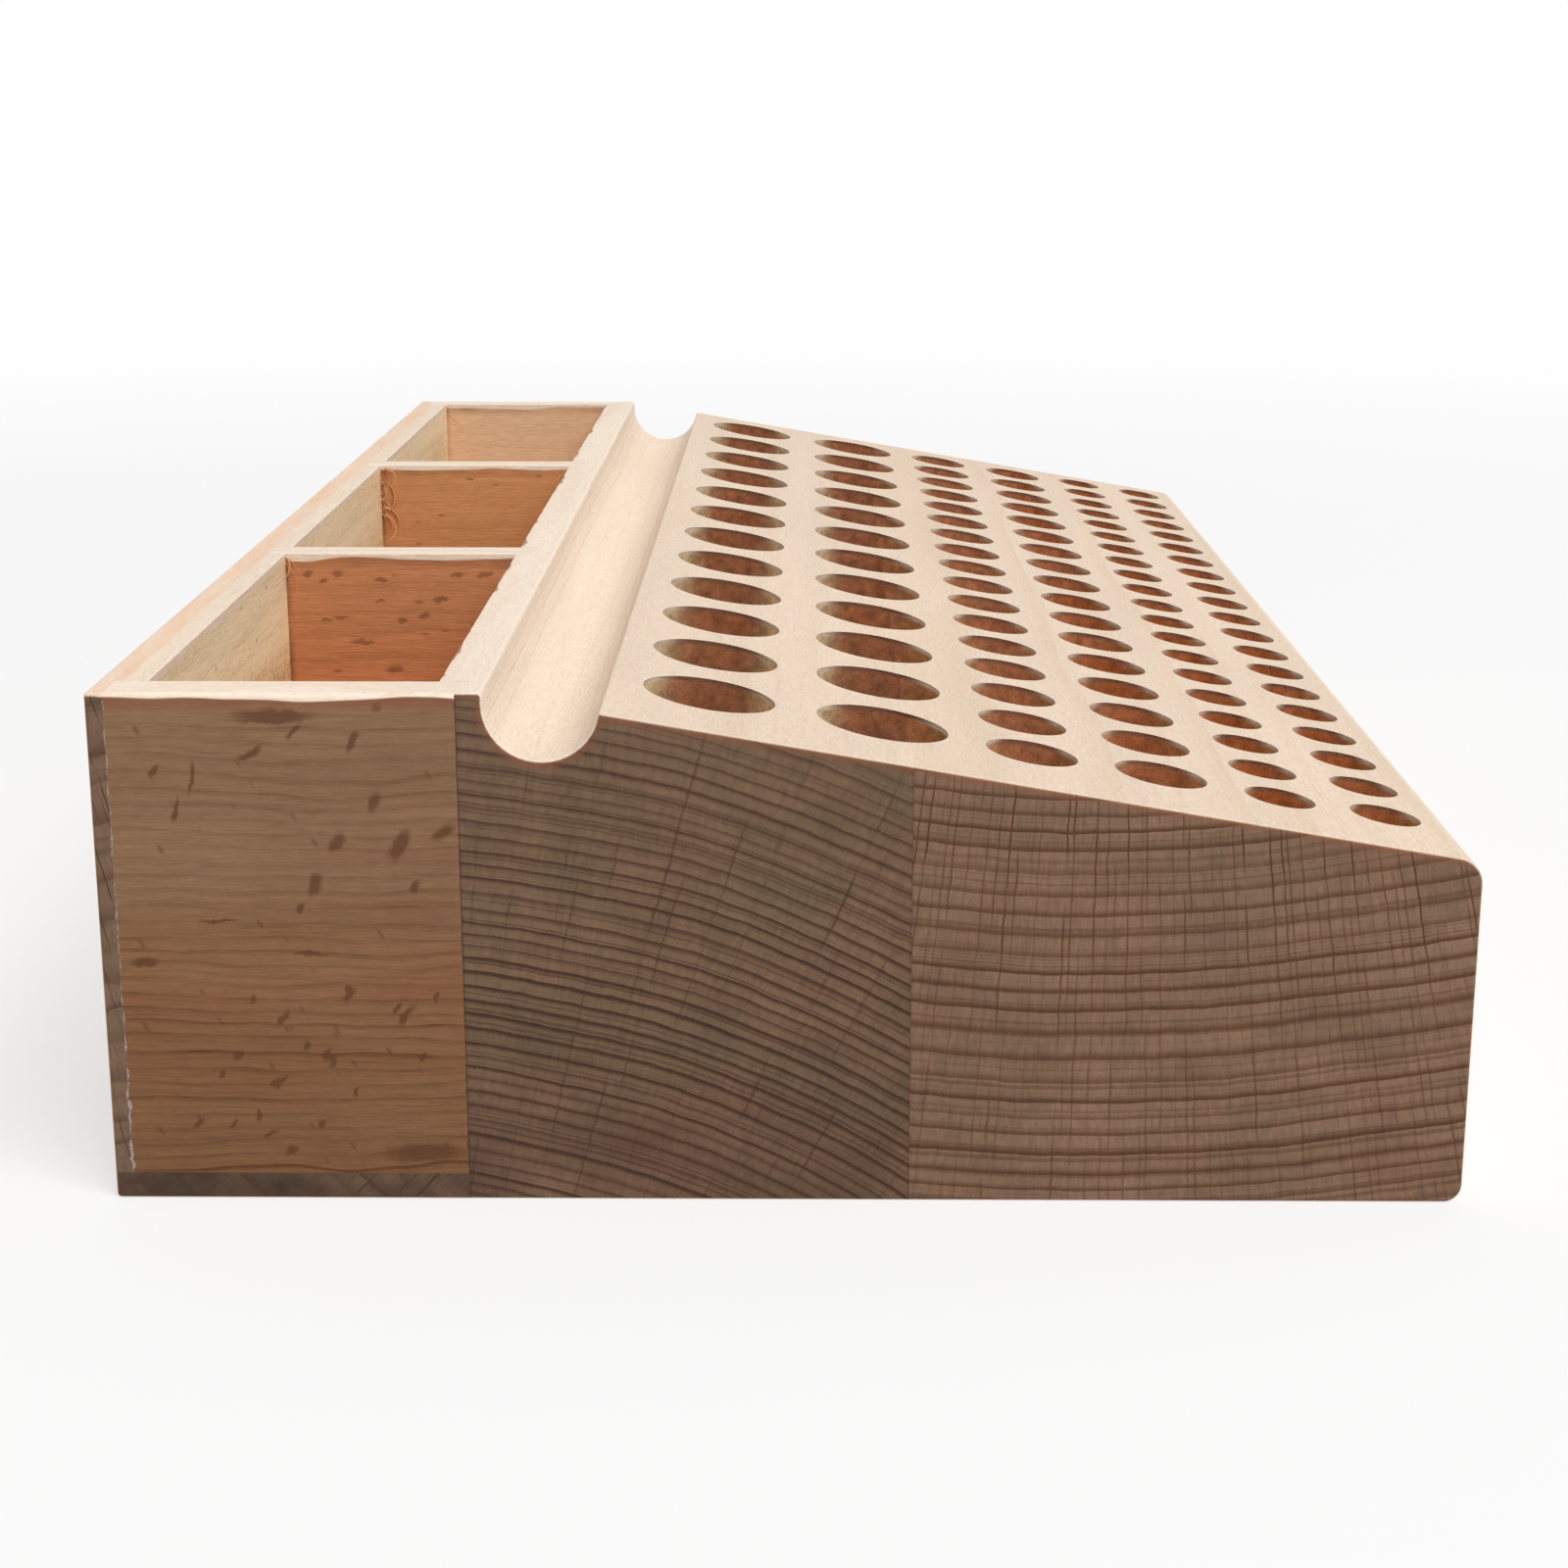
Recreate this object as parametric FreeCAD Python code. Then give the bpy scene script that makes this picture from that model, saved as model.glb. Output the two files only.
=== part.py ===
import FreeCAD, Part
import math
import os

# A beech rack for bench tools: a solid block with six sloping rows of round holes,
# a half round groove for a pen or a knife, and a box of three compartments behind.
# Millimetres. X runs along the rack, the compartments are at the back, +Y, and +Z is up.
# The origin lies under the middle of the rack, on the surface that it stands on.

# Overall sizes
length = 250.0
height = 56.0

# Thin boards of the box
board = 5.5
bottom_board = 3.0
box_depth = 36.0
dividers = 2

# Housings that the thin boards are let into, and the glue line beside a board in one
let_in = 2.2
back_lip = 2.0
glue_line = 0.05

# Flat strip and groove along the top of the block
flat_strip = 5.0
groove_radius = 6.0
groove_drop = 1.2

# Sloping top of the block
slope_drop = 2.1
slope_deg = 9.67

# The block is glued up from two boards
rear_board_width = 49.5

# Edges that are rounded or sanded soft once the rack is glued up
front_top_radius = 3.0
front_bottom_radius = 2.0
eased = 0.5
eased_groove_rim = 0.3

# Tool holes, drilled square to the slope. Below its round wall each ends in the drill's cone
large_bore = 14.6
medium_bore = 10.2
small_bore = 7.8
large_pitch = 20.0
medium_pitch = 14.0
small_pitch = 12.0
large_start = 17.0
medium_start = 15.0
small_start = 13.5
hole_depth = 30.0
drill_point_deg = 118.0
least_end_wall = 4.0

# Steps from the front rim of the groove to the first row, from row to row, and to the front
groove_to_rear_large = 10.8
rear_large_to_front_large = 18.9
front_large_to_rear_medium = 16.2
rear_medium_to_front_medium = 14.1
front_medium_to_rear_small = 12.8
rear_small_to_front_small = 11.5
front_small_to_front = 7.7

# Each row of holes, from the back: step from the row before, bore, pitch and first place
rows = [
    (groove_to_rear_large, large_bore, large_pitch, large_start),
    (rear_large_to_front_large, large_bore, large_pitch, large_start),
    (front_large_to_rear_medium, medium_bore, medium_pitch, medium_start),
    (rear_medium_to_front_medium, medium_bore, medium_pitch, medium_start),
    (front_medium_to_rear_small, small_bore, small_pitch, small_start),
    (rear_small_to_front_small, small_bore, small_pitch, small_start),
]

# Places that follow, measured forwards from the back face
groove_back = box_depth + flat_strip
groove_centre = groove_back + groove_radius
groove_front = groove_centre + groove_radius
width = groove_front + sum(step for step, _, _, _ in rows) + front_small_to_front
board_joint = box_depth + rear_board_width
housing_depth = box_depth + let_in
back_seat = board - let_in

# Heights, and places along the rack, that follow
slope = math.radians(slope_deg)
rim_height = height - slope_drop
groove_height = height - groove_drop
groove_bottom = groove_height - groove_radius
left = -length / 2
right = length / 2
compartment = (length - (dividers + 2) * board) / (dividers + 1)

# How far a cut runs past the face that it starts from, and how near two places count as one
past = 1.0
same_place = 1e-6


def y_at(from_back):
    """The Y of a place that is given by its distance from the back face."""
    return width / 2 - from_back


def slope_height(from_back):
    """The height of the sloping top at a distance from the back face."""
    return rim_height - (from_back - groove_front) * math.tan(slope)


def box(x0, x1, back, front, z0, z1):
    """A box between two X, two distances from the back face and two heights."""
    corner = FreeCAD.Vector(x0, y_at(front), z0)
    return Part.makeBox(x1 - x0, front - back, z1 - z0, corner)


def groove_rim():
    """Where the groove's round floor meets the slope: distance from the back, and height."""
    fall = math.tan(slope)
    above = slope_height(groove_centre) - groove_height
    a = 1 + fall * fall
    b = -2 * fall * above
    c = above * above - groove_radius * groove_radius
    across = (-b + math.sqrt(b * b - 4 * a * c)) / (2 * a)
    return groove_centre + across, slope_height(groove_centre + across)


def runs_along(edge, back, z):
    """Whether an edge is the long one at this place of the end outline."""
    far = [abs(v.Point.y - y_at(back)) + abs(v.Point.z - z) for v in edge.Vertexes]
    return edge.Length > length / 2 and max(far) < same_place


def crosses_end(edge):
    """Whether an edge lies in one of the two end faces."""
    places = [v.Point.x for v in edge.Vertexes]
    return max(places) - min(places) < same_place and abs(places[0]) > right - same_place


def rack_outline():
    """The whole rack as one solid, without holes and compartments, its outer edges rounded."""
    rim_back, rim_z = groove_rim()
    front_z = slope_height(width)

    def at(back, z):
        return FreeCAD.Vector(left, y_at(back), z)

    flat_sides = [
        (at(groove_back, groove_height), at(groove_back, height)),
        (at(groove_back, height), at(0, height)),
        (at(0, height), at(0, 0)),
        (at(0, 0), at(width, 0)),
        (at(width, 0), at(width, front_z)),
        (at(width, front_z), at(rim_back, rim_z)),
    ]
    groove_floor = at(groove_centre, groove_bottom)
    groove = Part.Arc(at(rim_back, rim_z), groove_floor, at(groove_back, groove_height))
    sides = [Part.makeLine(start, end) for start, end in flat_sides] + [groove.toShape()]
    bar = Part.Face(Part.Wire(sides)).extrude(FreeCAD.Vector(length, 0, 0))
    rounded = [
        (front_top_radius, width, front_z),
        (front_bottom_radius, width, 0),
        (eased, 0, 0),
        (eased, 0, height),
        (eased, groove_back, height),
        (eased_groove_rim, rim_back, rim_z),
    ]
    for radius, back, z in rounded:
        bar = bar.makeFillet(radius, [e for e in bar.Edges if runs_along(e, back, z)])
    return bar.makeFillet(eased, [e for e in bar.Edges if crosses_end(e)])


def drills():
    """One pointed drill for every tool hole, from its tip to just past the hole's mouth."""
    up = FreeCAD.Vector(0, -math.sin(slope), math.cos(slope))
    pointed = []
    from_back = groove_front
    for step, bore, pitch, start in rows:
        from_back += step
        point = bore / 2 / math.tan(math.radians(drill_point_deg / 2))
        room = length - start - bore / 2 - least_end_wall
        for i in range(int(room / pitch) + 1):
            mouth = FreeCAD.Vector(left + start + i * pitch, y_at(from_back), slope_height(from_back))
            floor = mouth - up * hole_depth
            shank = Part.makeCylinder(bore / 2, hole_depth + past, floor, up)
            pointed.append(shank.fuse(Part.makeCone(0, bore / 2, point, floor - up * point, up)))
    return pointed


def divider_starts():
    """The left side of each divider, from left to right."""
    return [left + board + compartment + i * (compartment + board) for i in range(dividers)]


def thin_board_room():
    """What the thin boards need cut out of the pieces that hold them, with the glue lines."""
    floor = bottom_board
    top = height + past
    cuts = [
        box(left - past, left + board + glue_line, back_lip, housing_depth, floor, top),
        box(right - board - glue_line, right + past, back_lip, housing_depth, floor, top),
        box(left - past, right + past, -past, housing_depth, -past, floor),
    ]
    for x in divider_starts():
        cuts.append(box(x - glue_line, x + board + glue_line, back_seat, housing_depth, floor, top))
    return cuts


def rear_block(outline):
    """The rear board of the block, with the groove, the housings and most of the large holes."""
    plank = outline.common(box(left - past, right + past, box_depth, board_joint, -past, height + past))
    return plank.cut(thin_board_room() + drills())


def front_block(outline):
    """The front board of the block, with its rounded front edges and the smaller holes."""
    plank = outline.common(box(left - past, right + past, board_joint, width + past, -past, height + past))
    return plank.cut(drills())


def back_panel(outline):
    """The upright board at the back, rebated for the end panels and grooved for the dividers."""
    panel = outline.common(box(left - past, right + past, -past, board, bottom_board, height + past))
    return panel.cut(thin_board_room())


def bottom_panel(outline):
    """The thin board under the compartments."""
    return outline.common(box(left - past, right + past, -past, housing_depth, -past, bottom_board))


def end_panel(outline, x0, x1):
    """The board that closes one end of the box."""
    return outline.common(box(x0, x1, back_lip, housing_depth, bottom_board, height + past))


def divider(x0):
    """The board between two compartments."""
    return box(x0, x0 + board, back_seat, housing_depth, bottom_board, height)


outline = rack_outline()
nodes = {
    "rear_block": rear_block(outline),
    "front_block": front_block(outline),
    "back_panel": back_panel(outline),
    "bottom_panel": bottom_panel(outline),
    "left_end_panel": end_panel(outline, left - past, left + board),
    "right_end_panel": end_panel(outline, right - board, right + past),
}
for i, x0 in enumerate(divider_starts()):
    nodes["divider_%d" % (i + 1)] = divider(x0)

os.makedirs("parts", exist_ok=True)
for name, shape in nodes.items():
    shape.exportStep("parts/%s.step" % name)
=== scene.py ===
from functools import partial
import math
import random

import bpy
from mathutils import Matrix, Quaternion, Vector


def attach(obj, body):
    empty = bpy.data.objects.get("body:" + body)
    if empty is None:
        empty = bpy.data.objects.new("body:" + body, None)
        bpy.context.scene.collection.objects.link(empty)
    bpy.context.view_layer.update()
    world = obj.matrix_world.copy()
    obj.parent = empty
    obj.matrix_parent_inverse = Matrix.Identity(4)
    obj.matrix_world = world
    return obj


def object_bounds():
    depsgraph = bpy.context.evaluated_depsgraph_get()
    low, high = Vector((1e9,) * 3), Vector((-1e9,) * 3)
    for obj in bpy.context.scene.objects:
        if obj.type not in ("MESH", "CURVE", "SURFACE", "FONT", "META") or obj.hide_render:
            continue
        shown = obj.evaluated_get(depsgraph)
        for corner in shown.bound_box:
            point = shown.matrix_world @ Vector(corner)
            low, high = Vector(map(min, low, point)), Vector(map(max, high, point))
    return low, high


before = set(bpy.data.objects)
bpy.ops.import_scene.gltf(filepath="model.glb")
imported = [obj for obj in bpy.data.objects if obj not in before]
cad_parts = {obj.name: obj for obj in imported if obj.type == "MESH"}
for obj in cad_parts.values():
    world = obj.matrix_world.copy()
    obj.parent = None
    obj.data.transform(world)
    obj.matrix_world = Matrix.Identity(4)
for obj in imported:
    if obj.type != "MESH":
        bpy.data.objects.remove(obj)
cad_box = [list(corner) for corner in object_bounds()]

bl_info = {
    "name": "Beech Tool Rack",
    "version": (1, 0, 0),
    "blender": (4, 5, 0),
    "location": "3D View > Sidebar > Tool Rack",
    "description": "Finishes a beech rack with tool holes, a groove and compartments, and its studio",
    "category": "Object",
}

MM = 0.001

# The rack's sizes and places that the finishes go by, in millimetres: X along it, +Y to its back
LENGTH, WIDTH, HEIGHT = (round((high - low) / MM, 1) for low, high in zip(*cad_box))
BACK = WIDTH / 2
SLOPE = math.radians(9.67)
UP_FROM_SLOPE = (0.0, -math.sin(SLOPE), math.cos(SLOPE))

# The Y of the joints behind and before the end panels, and of the one between the block's boards
BACK_JOINT = BACK - 2.0
BOX_JOINT = BACK - 38.2
BLOCK_JOINT = BACK - 85.5

# The compartments: the Y of their back and front walls, and the X of each one's right wall
BOX_CORNER = BACK - 5.5
BOX_FRONT = BACK - 36.0
RIGHT_WALLS = (-43.5, 38.0, 119.5)

# The groove, as (Y, Z): its middle, and its front rim, where the slope begins
GROOVE_CENTRE = (BACK - 47.0, HEIGHT - 1.2)
GROOVE_RADIUS = 6.0
GROOVE_RIM = (BACK - 53.0, HEIGHT - 2.1)

# How far inside the rack's outer faces a face has to lie to be finished as an inner one
SKIN = 2.0

# The heart of the tree that each board of the block was cut from, as (Y, Z)
REAR_PITH = (48.0, -87.0)
FRONT_PITH = (-32.9, 199.1)

# Where the softbox and the camera stand, in metres, and how far the camera turns down and left of +X
SOFTBOX_PLACE = (-1.5, -1.15, 2.45)
EYE_PLACE = (-0.39442, -0.00217, 0.11811)
EYE_DOWN = math.radians(14.89)
EYE_LEFT = math.radians(0.548)


def rgb(hex_colour):
    """The linear colour, with full alpha, of an sRGB hex value."""
    parts = [int(hex_colour[i:i + 2], 16) / 255 for i in (1, 3, 5)]
    return [c / 12.92 if c <= 0.04045 else ((c + 0.055) / 1.055) ** 2.4 for c in parts] + [1.0]


def add(tree, kind, values=(), **settings):
    """Adds a node with its settings, sets or links its inputs, in order or by name, and returns it."""
    node = tree.nodes.new("ShaderNode" + kind)
    for name, setting in settings.items():
        setattr(node, name, setting)
    sockets = [socket for socket in node.inputs if socket.enabled]
    for key, value in values.items() if isinstance(values, dict) else enumerate(values):
        socket = sockets[key] if isinstance(key, int) else next(s for s in sockets if s.name == key)
        if isinstance(value, bpy.types.Node):
            value = next(s for s in value.outputs if s.enabled)
        if isinstance(value, bpy.types.NodeSocket):
            tree.links.new(value, socket)
        else:
            socket.default_value = value
    return node


def tone(label, words, hex_colour):
    """A colour for the sidebar."""
    return bpy.props.FloatVectorProperty(
        name=label, description=words, subtype="COLOR", size=4, min=0, max=1, default=rgb(hex_colour)
    )


def amount(label, words, value, most):
    """A plain number above 0 for the sidebar."""
    return bpy.props.FloatProperty(name=label, description=words, default=value, min=0, max=most)


def size(label, words, value, most):
    """A length for the sidebar, given here in millimetres."""
    return bpy.props.FloatProperty(
        name=label, description=words, default=value * MM, min=0, max=most * MM, subtype="DISTANCE"
    )


class RackTones(bpy.types.PropertyGroup):
    """The colours of the beech, as each surface is finished; some of them hold painted light and shade.
    """

    planed: tone("Planed", "Flat strip and upper edges, sanded pale", "#F5E3CF")
    # Block top is darker than Planed partly as painted shade, against the softbox's stronger light on the
    # slope
    block_top: tone("Block top", "Slope, groove and other long faces of the block", "#E7D1BA")
    planed_ring: tone("Planed ring", "Latewood lines on the pale faces", "#E0C3A6")
    planed_fleck: tone("Planed fleck", "Ray flecks on the pale faces", "#D6B596")
    # The ground tones of the cut ends below are darker than end grain alone, with painted shade in them
    rear_end: tone("Rear block end", "Cut end of the rear board", "#6F5742")
    rear_low: tone("Rear block end, low", "The same end near the bottom", "#644938")
    rear_ring: tone("Rear block ring", "Latewood lines on that end", "#432C1E")
    front_end: tone("Front block end", "Cut end of the front board", "#866853")
    front_ring: tone("Front block ring", "Latewood lines on that end", "#54331E")
    olive: tone("Olive stain", "Greyer patches of the cut ends", "#685A44")
    pink: tone("Pink stain", "Redder patches of the cut ends", "#7C5C49")
    # The tones for hole walls facing the front and the back differ by painted light and shade: the large
    # holes' back-facing walls are lightened, the smaller holes' darkened
    bored: tone("Bored along", "Hole walls along the grain, facing the front", "#EFD6A8")
    bored_back: tone("Bored along, back", "Hole walls along the grain, facing the back", "#FFD7A6")
    bored_end: tone("Bored across", "Hole walls across the grain, near the mouth", "#A46949")
    bored_hot: tone("Bored across, hot", "The same in the holes where the bit ran hot", "#B26336")
    # Painted shade: the walls across the fibres darken deeper in the large holes
    bored_deep: tone("Bored across, deep", "The same walls further down", "#895D48")
    small_front: tone("Smaller holes", "Walls of the smaller holes that face the front", "#DBA97E")
    small_back: tone("Smaller holes, back", "Those that face the back", "#CF9560")
    small_mouth: tone("Smaller holes, mouth", "Across the grain near the mouth", "#BA7854")
    # Painted shade: the same darkening deeper in the smaller holes
    small_deep: tone("Smaller holes, deep", "Across the grain further down", "#AC6E46")
    # Painted shade: the end panels' outer faces take these dark tones, and their inner faces the pale
    # Inner faces
    board: tone("End panel", "Outer face of the near end panel", "#88674B")
    board_low: tone("End panel, low", "The redder lower half of that face", "#7E5738")
    board_end: tone("Board end", "Cut ends of the thin boards", "#785E4A")
    # Painted shadow: near black for the bottom panel's ends where they meet the floor, over their darker
    # end grain
    bottom_end: tone("Bottom end", "Cut ends of the bottom panel", "#311B18")
    heart: tone("Heart", "Pinkish stripe along the back panel's top", "#EFC5A4")
    torn: tone("Torn fibres", "Fuzz in the corners of the compartments", "#E0A878")
    glue: tone("Glue", "Glue that dried in the joints at the ends", "#A99C9B")
    inner_board: tone("Inner faces", "Inside of the end panels", "#EBC29C")
    back: tone("Back", "Outside of the back panel", "#D8A984")
    bottom: tone("Bottom", "Faces of the bottom panel", "#DDB791")
    fleck: tone("Fleck", "Dark ray flecks on the boards", "#573217")
    divider: tone("Divider", "Faces of the dividers", "#CA895D")
    divider_low: tone("Divider, low", "Their hotter lower half", "#C77F54")
    second_divider: tone("Second divider", "Faces of the further divider", "#D49563")
    sawn: tone("Sawn", "Inside of the back panel", "#FFE8C2")
    sawn_low: tone("Sawn, low", "Its rougher lower half", "#F5CE94")
    scorch: tone("Burnish", "Edges that the sander browned", "#84513A")


class RackGrain(bpy.types.PropertyGroup):
    """The real sizes of the wood's own pattern."""

    rear_ring_gap: size("Rear ring gap", "From one growth ring to the next in the rear board", 1.5, 10)
    rear_ray_gap: size("Rear ray gap", "From one broad ray to the next in the rear board", 2.8, 10)
    front_ring_gap: size("Front ring gap", "From one growth ring to the next in the front board", 2.2, 10)
    front_ray_gap: size("Front ray gap", "From one broad ray to the next in the front board", 1.4, 10)
    ray_width: size("Ray width", "Thickness of a broad ray", 0.2, 1)
    pore: size("Pore", "Width of the open pores, drawn coarse enough to see", 0.22, 1)


class RackStage(bpy.types.PropertyGroup):
    """The studio around the rack."""

    floor: tone("Floor", "Pale studio floor", "#F6F6F6")
    floor_radius: size("Floor radius", "Where the lit floor has run out into plain white", 900, 5000)
    sky: amount("Sky", "Strength of the even light from all round", 0.42, 5)
    key: bpy.props.FloatProperty(
        name="Key", description="Power of the softbox", default=72.0, min=0, max=1000, subtype="POWER"
    )
    softbox: size("Softbox", "Side of the square softbox, high behind the camera", 1800, 5000)
    focal: amount("Focal length", "Camera focal length in mm", 61.9, 300)


def place_in(tree, grain):
    """Where a point lies in mm, with the grain's direction first.

    Gives it as a vector and as its parts, with the way the surface faces in the same order.
    """
    new = partial(add, tree)
    coords = new("TexCoord")
    place = new("VectorMath", [coords.outputs["Object"], 1 / MM], operation="SCALE")
    order = (0, 1, 2) if grain == "X" else (1, 0, 2)
    split = new("SeparateXYZ", [place])
    turned = new("SeparateXYZ", [coords.outputs["Normal"]])
    parts = [split.outputs[i] for i in order]
    return new("CombineXYZ", parts), parts, [turned.outputs[i] for i in order]


def growth(tree, place, parts, pith, gap, wander, seed):
    """Growth rings round a pith line that runs along the grain, from one to the next gap mm.

    Gives (ring, radius, wave): how far a point is into a dark latewood line, from 0 to 1, how far it
    is from the pith in mm, and the noise that bends the rings, by up to wander mm. A slower noise
    bends them by up to 1 mm more. Each ring darkens slowly outwards and ends sharply, and fainter
    lines run between them.
    """
    new = partial(add, tree)
    slow = new("VectorMath", [place, (83.33, 33.33, 33.33)], operation="DIVIDE")
    slow = new("TexNoise", [slow, 1.0, 1.0])
    quick = new("VectorMath", [place, (33.33, 3.333, 3.333)], operation="DIVIDE")
    quick = new("TexNoise", [quick, 1.0, 1.0])
    sway = new("Math", [slow, 2.0, -1.0], operation="MULTIPLY_ADD")
    sway = new("Math", [quick, wander, sway], operation="MULTIPLY_ADD")
    first = new("Math", [parts[1], pith[0]], operation="SUBTRACT")
    second = new("Math", [parts[2], pith[1]], operation="SUBTRACT")
    flat = new("CombineXYZ", [first, second, 0.0])
    length = new("VectorMath", [flat], operation="LENGTH")
    radius = new("Math", [length.outputs["Value"], sway], operation="ADD")

    uneven = new("Math", [radius, 0.08, seed * 9.7], operation="MULTIPLY_ADD")
    uneven = new("TexNoise", [uneven, 1.0, 1.0], noise_dimensions="1D")
    turn = new("Math", [radius, 1 / gap], operation="MULTIPLY")
    turn = new("Math", [uneven, 1.8, turn], operation="MULTIPLY_ADD")
    whole = new("Math", [turn], operation="FLOOR")
    part = new("Math", [turn], operation="FRACT")
    rise = new("MapRange", [part, 0.35, 0.9, 0.0, 1.0], interpolation_type="SMOOTHSTEP")
    rise = new("Math", [rise, 2.2], operation="POWER")
    fall = new("MapRange", [part, 1.0, 0.92, 0.0, 1.0], interpolation_type="SMOOTHSTEP")
    line = new("Math", [rise, fall], operation="MULTIPLY")
    depth = new("Math", [whole, seed], operation="ADD")
    depth = new("TexWhiteNoise", [depth], noise_dimensions="1D")
    depth = new("Math", [depth, 0.55, 0.45], operation="MULTIPLY_ADD")
    line = new("Math", [line, depth], operation="MULTIPLY")

    between = new("Math", [radius, 3.2 / gap], operation="MULTIPLY")
    between = new("TexNoise", [between, 1.0, 2.0, 0.7], noise_dimensions="1D")
    between = new("MapRange", [between, 0.52, 0.7, 0.0, 0.45])
    return new("Math", [line, between], operation="MAXIMUM"), radius, quick


def rays(tree, parts, pith, radius, quick, gap, reach):
    """Broad rays, which run out from the pith as thin dark lines across the rings, gap mm apart.

    Gives (ray, weave): the broad rays, and the fine ones between them as a noise drawn out along them.
    reach holds how long each dash is in mm and how much of every ray is seen, from 0 to 1.
    """
    new = partial(add, tree)
    grain = bpy.context.scene.rack_grain
    first = new("Math", [parts[1], pith[0]], operation="SUBTRACT")
    second = new("Math", [parts[2], pith[1]], operation="SUBTRACT")

    # The angle round the pith, as mm along an arc through the middle of the underside
    arc = new("Math", [second, first], operation="ARCTAN2")
    arc = new("Math", [arc, math.hypot(*pith)], operation="MULTIPLY")
    arc = new("Math", [quick, 0.5, arc], operation="MULTIPLY_ADD")
    step = new("Math", [arc, 1 / gap], operation="MULTIPLY")
    cell = new("Math", [step], operation="FLOOR")
    within = new("Math", [step], operation="FRACT")
    middle = new("TexWhiteNoise", [cell], noise_dimensions="1D")
    middle = new("Math", [middle, 0.7, 0.15], operation="MULTIPLY_ADD")
    off = new("Math", [within, middle], operation="SUBTRACT")
    off = new("Math", [off], operation="ABSOLUTE")
    half = 0.5 * grain.ray_width / MM / gap
    line = new("MapRange", [off, 2.0 * half, 0.2 * half, 0.0, 1.0], interpolation_type="SMOOTHSTEP")
    dark = new("Math", [cell, 0.5], operation="ADD")
    dark = new("TexWhiteNoise", [dark], noise_dimensions="1D")
    dark = new("Math", [dark, 0.7, 0.3], operation="MULTIPLY_ADD")
    line = new("Math", [line, dark], operation="MULTIPLY")

    along, share = reach
    cell = new("Math", [cell, 3.7], operation="MULTIPLY")
    spread = new("CombineXYZ", [parts[0], radius, cell])
    spread = new("VectorMath", [spread, (3.571, along, 1.0)], operation="DIVIDE")
    seen = new("TexNoise", [spread, 1.0, 1.0])
    seen = new("MapRange", [seen, 0.66 - 0.3 * share, 0.74 - 0.2 * share, 0.0, 1.0])
    weave = new("CombineXYZ", [parts[0], radius, arc])
    weave = new("VectorMath", [weave, (6.667, 1.818, 0.4167)], operation="DIVIDE")
    weave = new("TexNoise", [weave, 1.0, 2.0, 0.6])
    return new("Math", [line, seen], operation="MULTIPLY"), weave


def patches(tree, place, stretch, low, high, seed):
    """Soft blotches over the wood, from low to high, as long and wide as stretch says in mm."""
    new = partial(add, tree)
    drawn_out = [1 / length for length in stretch]
    spot = new("VectorMath", [place, drawn_out, (seed, seed * 1.7, seed * 2.3)], operation="MULTIPLY_ADD")
    spot = new("TexNoise", [spot, 1.0, 3.0, 0.55])
    return new("MapRange", [spot, 0.3, 0.7, low, high])


def pores_in(tree, place):
    """The open pores: grains from 0 to 1, twelve times as long as they are wide.

    Real ones are about 0.07 mm wide, and are drawn coarser so that they show.
    """
    new = partial(add, tree)
    pore = MM / bpy.context.scene.rack_grain.pore
    fine = new("VectorMath", [place, (pore / 12, pore, pore)], operation="MULTIPLY")
    return new("TexNoise", [fine, 1.0, 2.0, 0.6])


def empty_material(name):
    """A material with no nodes in it yet, and its node tree."""
    made = bpy.data.materials.new(name)
    made.use_nodes = True
    made.node_tree.nodes.clear()
    return made, made.node_tree


def bare_wood(tree, colour, relief, roughness, gloss, depth):
    """The dull open skin of bare wood: a weak gloss, over pores and rings as a relief, depth mm high."""
    new = partial(add, tree)
    bump = new("Bump", {"Strength": 0.7, "Distance": depth * MM, "Height": relief})
    skin = {"Base Color": colour, "Roughness": roughness, "Specular IOR Level": gloss, "Normal": bump}
    new("OutputMaterial", [new("BsdfPrincipled", skin)])


def planed_colour(tree, place, ground, ring, ray, pores, seed):
    """Beech planed and sanded along the grain: pale, with faint rings, short ray flecks and specks."""
    new = partial(add, tree)
    tones = bpy.context.scene.rack_tones
    faint = new("Math", [ring, 0.4], operation="MULTIPLY")
    colour = new("Mix", [faint, ground, tones.planed_ring], data_type="RGBA")
    faint = new("Math", [ray, 0.22], operation="MULTIPLY")
    colour = new("Mix", [faint, colour, tones.planed_fleck], data_type="RGBA")
    speck = new("VectorMath", [place, (1.111, 0.4545, 0.4545)], operation="DIVIDE")
    speck = new("TexNoise", [speck, 1.0, 3.0, 0.75])
    shade = new("Math", [pores, 0.24, 0.68], operation="MULTIPLY_ADD")
    shade = new("Math", [speck, 0.46, shade], operation="MULTIPLY_ADD")
    shade = new("Math", [shade, patches(tree, place, (70, 7, 7), 0.93, 1.01, seed)], operation="MULTIPLY")
    return new("VectorMath", [colour, shade], operation="SCALE")


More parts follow.
